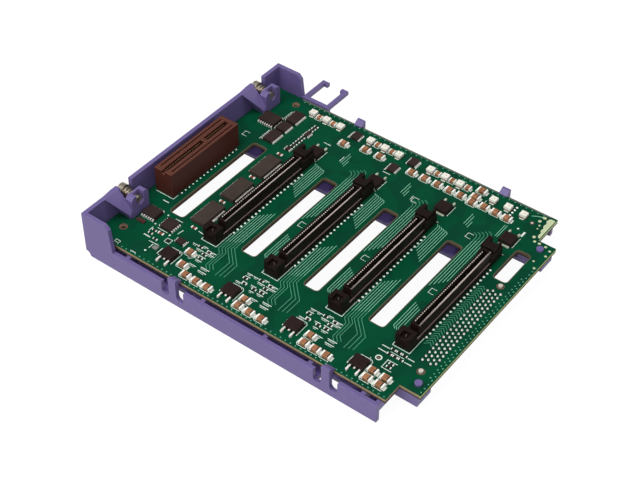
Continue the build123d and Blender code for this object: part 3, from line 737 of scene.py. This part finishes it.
for x0 in socket_lefts[:3]:
    run_past_socket(x0)
    traces.line([(x0 + 16.7, 102.8), (x0 + 16.7, 110.6)], trace_wide)
    traces.line([(x0 + 18.0, 102.4), (x0 + 18.0, 109.3)], trace_wide)
    traces.line([(x0 + 19.2, 101.5), (x0 + 19.2, 106.0)], trace_wide)
for x0 in socket_lefts[1:]:
    run_before_socket(x0)

# Single traces near the back edge, and the slanted ones between the last socket and the tail field
traces.lines([(0, 104.4), (0, 113.2)], [(139.3, 0), (140.3, 0)], trace_wide)
traces.line([(145.4, 125.2), (147.6, 126.6), (150.2, 127.4)], 0.4)
strip_places = [(125.3, 126.4), (109.3, 126.6), (93.4, 126.6), (76.0, 126.5), (59.7, 126.6)]
traces.lines([(-1.6, 0), (1.4, 0)], strip_places, trace_wide)
slant_places = row((sockets[3][1][0] + 1.9, 33.5), (0, 1.6), 26)
faint_traces.lines([(0, 0), (1.9, 1.9), (3.6, 0.3)], slant_places, trace_wide)
faint_traces.lay("deep_traces", deep_copper)
traces.lay("board_traces", copper)

# White printed outlines round the parts
prints = Layer(ink_level)
hair_wide = 0.22
fine_wide = 0.24
outline_wide = 0.28
near_gap = 0.7
far_gap = 0.6
for low, high in sockets:
    left, right = low[0] - near_gap, high[0] + far_gap
    front, back = low[1] - near_gap, high[1] + far_gap
    prints.line([(left, 33.0), (left, front), (right, front), (right, 36.0)], outline_wide)
    prints.line([(low[0] - far_gap, high[1] - 4.0), (low[0] - far_gap, back), (right, back)], outline_wide)
edge_front = edge_low[1] - near_gap
edge_right = edge_high[0] + near_gap
prints.line(
    [(edge_low[0] + 0.6, edge_front), (edge_right, edge_front), (edge_right, edge_front + 3.4)], outline_wide
)
prints.lines([(-4.4, -2.2), (-4.4, 2.4)], regulators, 0.42)
prints.lines([(-2.6, 4.9), (2.8, 4.9), (3.7, 3.9), (3.7, -3.4)], regulators, outline_wide)
prints.lines([(3.6, -2.6), (3.6, 4.6)], end_regulators, outline_wide)
prints.lines([(-1.9, 9.4), (2.1, 9.4)], end_regulators[:2], 0.34)
prints.lines([(-3.0, 0.9), (-3.0, -1.1), (-2.3, -1.9), (2.2, -1.9)], big_caps, fine_wide)
prints.lines([(-2.2, -0.6), (-2.2, -1.7), (1.4, -1.7)], small_caps, hair_wide)

# Brackets printed round spots between the parts
bracket_places = [(68.7, 58.8), (102.8, 58.7), (136.8, 59.7), (130.6, 97.6), (98.9, 102.3), (9.6, 92.6)]
prints.lines([(1.3, 1.6), (-1.4, 1.6), (-1.4, -1.4), (1.3, -1.4)], bracket_places, hair_wide)

# Double strokes of the small part groups: start from the socket's left side, y and length
socket_strokes = [
    (1.3, 19.8, 4.0), (3.2, 22.5, 2.5), (6.0, 21.6, 4.9), (6.0, 19.8, 5.2), (4.8, 17.0, 4.1),
    (5.4, 14.4, 3.4), (4.8, 10.9, 3.9), (1.7, 13.8, 2.5), (10.4, 12.1, 4.6), (10.6, 9.9, 4.5),
    (0.4, 16.7, 2.9), (-1.9, 21.4, 2.7),
]
left_strokes = [(-5.2, 21.4, 2.9), (-5.0, 19.6, 2.6), (-3.8, 16.5, 2.3), (-6.4, 15.0, 3.6)]
for k, x0 in enumerate(socket_lefts[:3]):
    for away, y, long in socket_strokes + (left_strokes if k else []):
        start = x0 + away
        prints.line([(start, y), (start + long, y)], 0.36)
        prints.line([(start + 0.5, y - 0.75), (start + long - 0.7, y - 0.75)], 0.2)

# Single strokes: x and y of both ends, and the width
strokes = [
    (9.8, 34.2, 13.2, 34.2, 0.5), (17.8, 12.7, 21.4, 12.7, 0.5), (22.5, 10.8, 28.0, 11.1, 0.28),
    (29.6, 21.4, 30.1, 24.6, 0.34), (22.6, 28.2, 26.6, 28.2, 0.34), (19.9, 19.2, 25.6, 19.2, 0.28),
    (25.4, 7.4, 25.4, 10.4, 0.34), (30.4, 6.9, 30.4, 10.8, 0.34), (18.1, 15.6, 18.1, 18.4, 0.3),
    (20.2, 1.6, 23.2, 1.6, 0.34), (35.6, 28.4, 38.4, 28.0, 0.34), (36.7, 16.6, 36.7, 20.6, 0.3),
    (148.6, 110.9, 148.6, 114.3, 0.9), (96.7, 101.5, 96.7, 104.3, 0.3), (48.9, 119.4, 48.9, 124.6, 0.3),
    (86.9, 119.8, 86.9, 125.0, 0.3), (75.8, 111.0, 75.8, 116.0, 0.3), (16.6, 93.8, 16.6, 101.6, 0.28),
    (16.6, 111.2, 16.6, 118.8, 0.28), (124.3, 117.6, 124.3, 121.6, 0.26), (56.1, 103.4, 56.1, 107.2, 0.3),
    (137.2, 22.8, 141.0, 22.8, 0.4), (149.6, 22.9, 152.8, 22.9, 0.4), (137.0, 20.3, 141.0, 20.3, 0.4),
    (149.6, 20.4, 153.0, 20.4, 0.4), (142.2, 21.7, 148.6, 21.7, 0.24), (137.6, 10.6, 137.6, 14.6, 0.3),
]
for x0, y0, x1, y1, wide in strokes:
    prints.line([(x0, y0), (x1, y1)], wide)

# Small printed frames, a ring and dots
ringed_dot = (140.1, 16.3)
ink_dots = [(27.4, 18.7, 0.5), (17.6, 20.4, 0.4), (18.4, 27.9, 0.4), (25.2, 5.4, 0.5), (145.0, 114.5, 0.5)]
prints.line([(10.7, 1.7), (13.1, 1.7), (13.1, 3.1), (10.7, 3.1), (10.7, 1.7)], hair_wide)
prints.line([(27.9, 14.3), (30.7, 14.3), (30.7, 16.9), (27.9, 16.9), (27.9, 14.3)], fine_wide)
prints.line([(148.4, 17.5), (143.8, 17.5), (143.8, 12.9), (148.4, 12.9)], 0.3)
prints.ring(*ringed_dot, 1.0, 1.5)
for x, y, radius in ink_dots:
    prints.dot(x, y, radius)
prints.lay("board_printing", ink)

# Bare rims round the windows, a little outside their rounded corners
window_corner = 1.5
rim_gap = 0.22
rim_wide = 0.34
rim_reach = window_corner + rim_gap
rims = Layer(pad_level)
for low, high in windows:
    left, right = low[0] + window_corner, high[0] - window_corner
    front, back = low[1] + window_corner, high[1] - window_corner
    path = []
    for quarter, (x, y) in enumerate([(right, front), (right, back), (left, back), (left, front)]):
        for turn in [math.radians(90 * quarter - 90 + 30 * step) for step in range(4)]:
            path.append((x + rim_reach * math.cos(turn), y + rim_reach * math.sin(turn)))
    rims.line(path + path[:1], rim_wide)
rims.lay("window_rims", bare_laminate)

# Dull band along the back edge, with gaps at the two notches
band_wide = 0.9
band_y = board_back - 0.52
back_band = Layer(pad_level)
for x0, x1 in ((15.0, 45.2), (51.0, 125.4), (131.2, 152.8)):
    back_band.line([(x0, band_y), (x1, band_y)], band_wide)
back_band.lay("back_band", edge_band)

# Plated pads under the ends of the capacitors and the lights
pads = Layer(pad_level)


def pad_pairs(places, across, along, wide, deep):
    """Two pads at each place, one on either side of it."""
    for x, y in places:
        for side in (-1, 1):
            pads.rect(x + side * across, y + side * along, wide, deep)


pad_pairs(big_caps, 2.55, 0, 0.84, 2.4)
pad_pairs(small_caps, 1.75, 0, 0.6, 2.0)
pad_pairs(lights, 0, 1.95, 2.2, 0.8)
pads.lay("tinned_pads", plating)

# Tinned marks near the back right corner: dots with x, y and radius, and a patch with an uneven side
plated_dots = [
    (150.8, 127.4, 0.9), (150.1, 124.4, 0.8), (151.4, 121.9, 0.5), (151.7, 119.6, 0.4), (153.2, 114.2, 0.8),
    (154.9, 111.9, 0.7), (157.2, 111.9, 0.7), (160.5, 111.7, 0.7), (163.2, 110.4, 0.6),
    (163.4, 106.7, 0.6), (160.8, 101.1, 0.5), (163.2, 97.5, 0.6),
]
plated_patch = [
    (155.6, 114.6), (155.6, 128.5), (153.6, 128.5), (152.7, 127.7), (152.5, 126.2), (153.3, 124.6),
    (152.9, 122.8), (153.7, 121.1), (153.4, 119.4), (154.4, 117.8), (154.1, 116.3), (154.7, 115.0),
]
corner_marks = Layer(pad_level)
for x, y, radius in plated_dots:
    corner_marks.dot(x, y, radius)
corner_marks.patch(plated_patch)
corner_marks.lay("corner_plating", olive_plating)

# Rings of the stitching holes, tented by the solder mask
stitch_hole = 0.13
stitch_ring = 0.30
stitch_rows = (
    row((3.0, 1.0), (2.55, 0), 60)
    + row((board_right - 1.0, 11.5), (0, pin_pitch), 35)
    + row((board_right - 2.3, 20.0), (0, pin_pitch), 28)
    + row((17.0, board_back - 1.6), (2.95, 0), 46)
)
rings = Layer(pad_level)
holes_and_shade = Layer(pad_level)
for x, y in stitch_rows:
    rings.ring(x, y, stitch_hole, stitch_ring, sides=8)
    holes_and_shade.dot(x, y, stitch_hole, sides=8)
rings.lay("stitching_rings", tented)

# Solder dots beside the sockets, each over a dark patch of painted shade set towards its front left, with
# small dark dots between them
dot_level = board_top + 0.04
dot_gap = 1.0
first_dot_y = 36.85
first_edge_dot_y = 42.7
socket_dots = []
for low, high in sockets:
    socket_dots += row((high[0] + dot_gap, first_dot_y), (0, pin_pitch), 20)
socket_dots += row((137.6, 119.8), (0, 2.0), 4)
edge_dots = row((edge_high[0] + dot_gap, first_edge_dot_y), (0, pin_pitch), 16)
for x, y in socket_dots + edge_dots:
    holes_and_shade.dot(x - 0.28, y - 0.22, 0.70)
for low, high in sockets:
    for x, y in row((high[0] + 0.55, first_dot_y + pin_pitch / 2), (0, pin_pitch), 19):
        holes_and_shade.dot(x, y, 0.34, sides=8)
holes_and_shade.lay("holes_and_painted_shade", hole_and_shade_dark)
settle(repeat(dome(0.55, 0.3), socket_dots, dot_level), "solder_dots", dull_solder)
settle(repeat(dome(0.42, 0.28), edge_dots, dot_level), "edge_socket_dots", dull_solder)

# Solder cones round the tails of the link connector, each over a dark patch of painted shade set towards its
# front left
tail_shade = Layer(pad_level)
for x, y in tails:
    tail_shade.dot(x - 0.2, y - 0.16, 0.78)
tail_shade.lay("tail_shade_patches", hole_and_shade_dark)
settle(repeat(dome(0.49, 0.45), tails, board_top), "tail_solder", dull_solder)

# Bare rings of the locking pegs, the spare holes and the sighting mark
sight = (147.9, 121.4)
marks = Layer(pad_level)
for x, y in lock_holes:
    marks.ring(x, y, 1.3, 1.75, sides=16)
for x, y in spare_holes:
    marks.ring(x, y, 1.35, 1.9, sides=18)
marks.ring(*sight, 0.55, 1.0, sides=14)
marks.dot(*ringed_dot, 0.7)
marks.lay("bare_rings", spare_rim)
sights = Layer(pad_level)
sights.dot(*sight, 0.5, sides=12)
sights.lay("sighting_mark", plating)

# Dark bands of painted shade where the ceramic meets its metal end on the right
cap_shade_places = [(x + 1.13, y) for x, y in big_caps]
cap_shade_block = block(0.52, 2.56, 1.55, 0.03)
settle(repeat(cap_shade_block, cap_shade_places, board_top + 0.02), "cap_shade_bands", cap_shade_band)


def tinned_parts(name, places, body, end, reach, material):
    """Small bodies with a tinned end on both sides, as blocks of the sizes body and end."""
    ends = [(x + side * reach, y) for x, y in places for side in (-1, 1)]
    settle(repeat(block(*body), places, board_top), f"{name}_bodies", material)
    settle(repeat(block(*end), ends, board_top), f"{name}_ends", finishes["solder"])


# Small resistors: at the front of three sockets, by the clock and tiny chips, and before the last socket
front_resistors = [(7.8, 20.75), (6.9, 18.4), (7.0, 15.7), (2.6, 21.2), (3.2, 15.3)]
left_resistors = [(-3.8, 18.2), (-2.2, 15.6)]
resistors = []
for k, x0 in enumerate(socket_lefts[:3]):
    resistors += [(x0 + away, y) for away, y in front_resistors + (left_resistors if k else [])]
resistors += [(20.2, 16.9), (24.2, 12.9), (20.0, 14.6)]
resistors += row((32.7, 98.4), (0, 1.95), 5)
resistors += [(32.7, 112.6), (32.8, 114.5), (32.9, 116.4)]
resistors += row((142.6, 23.1), (2.7, 0), 3) + row((142.6, 20.3), (2.7, 0), 3)
resistors += [(146.3, 16.2), (146.3, 14.3)]
resistor_size = (1.5, 0.95, 0.5, 0.06)
resistor_end_size = (0.5, 1.0, 0.55, 0.08)
tinned_parts("resistor", resistors, resistor_size, resistor_end_size, 0.95, black_body)

# Red resistors to the left of the first socket
red_resistors = [(31.7, 90.2), (31.8, 69.9), (31.7, 49.0), (32.9, 28.6), (23.8, 17.1)]
red_resistor_size = (1.7, 1.3, 0.6, 0.08)
red_end_size = (0.7, 1.35, 0.65, 0.1)
tinned_parts("red_resistor", red_resistors, red_resistor_size, red_end_size, 1.15, red_body)

# Single small parts near the front left corner: place, size with its softening, and finish
single_parts = {
    "red_part": ((11.4, 17.9), (4.4, 1.9, 0.9, 0.12), maroon_body),
    "grey_part": ((27.9, 9.0), (2.6, 2.2, 0.7, 0.15), grey_body),
    "square_part": ((29.3, 15.6), (1.4, 1.2, 0.6, 0.12), black_body),
}
for name, (place, size, material) in single_parts.items():
    settle(repeat(block(*size), [place], board_top), name, material)

# Warm spots on the lights
spots = Layer(light_top - 0.01)
for x, y in lights:
    spots.dot(x + 0.2, y + 0.1, 0.42, sides=12)
spots.lay("light_spots", warm_dot)

# Bright pins in the dips of the sockets' ends
guide_inset = 3.7
guide_foot = board_top + 1.2
guide_places = [(low[0] + guide_inset, y) for low, high in sockets for y in (low[1] + 2.2, high[1] - 1.9)]
guide_pin = dome(0.62, 5.0, sides=12)
settle(repeat(guide_pin, guide_places, guide_foot), "guide_pins", finishes["screw"])


# Floor, light and camera, in metres
floor_size = 40
floor_level = -0.0002
floor_glow = 0.94
floor_shade = (0.11, 0.11, 0.11, 1)
sky_colour = (0.97, 0.98, 1.0, 1)
sky_strength = 0.34
lamp_target = Vector((0.082, 0.066, 0.01))


def floor_finish():
    """A pale floor that keeps the shadow and shows white behind the part."""
    finish = Finish("floor", Roughness=0.9, Specular_IOR_Level=0.0)
    cloud = finish.noise(2.0, 2.0)
    finish.feed(Base_Color=finish.mix(cloud, (0.62, 0.62, 0.62), (0.65, 0.65, 0.65)))
    camera_ray = finish.node("ShaderNodeLightPath", output="Is Camera Ray")
    glossy_ray = finish.node("ShaderNodeLightPath", output="Is Glossy Ray")
    clear_ray = finish.node("ShaderNodeLightPath", output="Is Transmission Ray")
    seen = (camera_ray + glossy_ray + clear_ray).math("MINIMUM", 1.0)
    glow = finish.node("ShaderNodeEmission", inputs={"Color": (1, 1, 1, 1), "Strength": floor_glow})
    dim = finish.node("ShaderNodeBsdfDiffuse", inputs={"Color": floor_shade})
    white = finish.node("ShaderNodeAddShader", inputs={0: glow, 1: dim})
    plain = Value(finish, finish.shader.outputs[0])
    blend = finish.node("ShaderNodeMixShader", inputs={0: seen, 1: plain, 2: white})
    finish.tree.links.new(blend.socket, finish.output.inputs[0])
    return finish.material


bpy.ops.object.select_all(action="DESELECT")
bpy.ops.mesh.primitive_plane_add(size=floor_size, location=(0, 0, floor_level))
floor = bpy.context.active_object
floor.name = "floor"
floor.data.materials.append(floor_finish())

world = bpy.data.worlds.new("studio")
bpy.context.scene.world = world
world.use_nodes = True
background = world.node_tree.nodes["Background"]
background.inputs["Color"].default_value = sky_colour
background.inputs["Strength"].default_value = sky_strength


def soft_lamp(name, place, size, power):
    """A round lamp that faces the part."""
    lamp = bpy.data.lights.new(name, "AREA")
    lamp.shape = "DISK"
    lamp.size = size
    lamp.energy = power
    holder = bpy.data.objects.new(name, lamp)
    holder.location = place
    holder.rotation_euler = (lamp_target - Vector(place)).to_track_quat("-Z", "Y").to_euler()
    bpy.context.scene.collection.objects.link(holder)


soft_lamp("key_lamp", (-0.05, -0.25, 1.2), 0.6, 9.0)
soft_lamp("front_lamp", (-0.35, -1.05, 0.6), 0.8, 4.6)
soft_lamp("fill_lamp", (0.74, -0.80, 0.98), 0.3, 4.4)
soft_lamp("edge_lamp", (0.91, 0.76, 0.53), 0.18, 1.2)

# Camera at the photograph's place, from its azimuth, elevation and roll
camera_place = Vector((0.342505, -0.295001, 0.428038))
camera_azimuth = math.radians(36.7086)
camera_elevation = math.radians(43.5673)
camera_roll = math.radians(0.6002)
camera_lens = 78.67

back = Vector((
    math.sin(camera_azimuth) * math.cos(camera_elevation),
    -math.cos(camera_azimuth) * math.cos(camera_elevation),
    math.sin(camera_elevation),
))
level_right = Vector((math.cos(camera_azimuth), math.sin(camera_azimuth), 0))
level_up = back.cross(level_right)
right = math.cos(camera_roll) * level_right + math.sin(camera_roll) * level_up
up = -math.sin(camera_roll) * level_right + math.cos(camera_roll) * level_up
camera_data = bpy.data.cameras.new("camera")
camera_data.lens = camera_lens
camera_data.sensor_width = 36
camera_data.clip_start = 0.01
camera_data.clip_end = 100
camera = bpy.data.objects.new("camera", camera_data)
turned = Matrix((right, up, back)).transposed().to_4x4()
camera.matrix_world = Matrix.Translation(camera_place) @ turned
bpy.context.scene.collection.objects.link(camera)
bpy.context.scene.camera = camera

bpy.context.scene.view_settings.view_transform = "Standard"
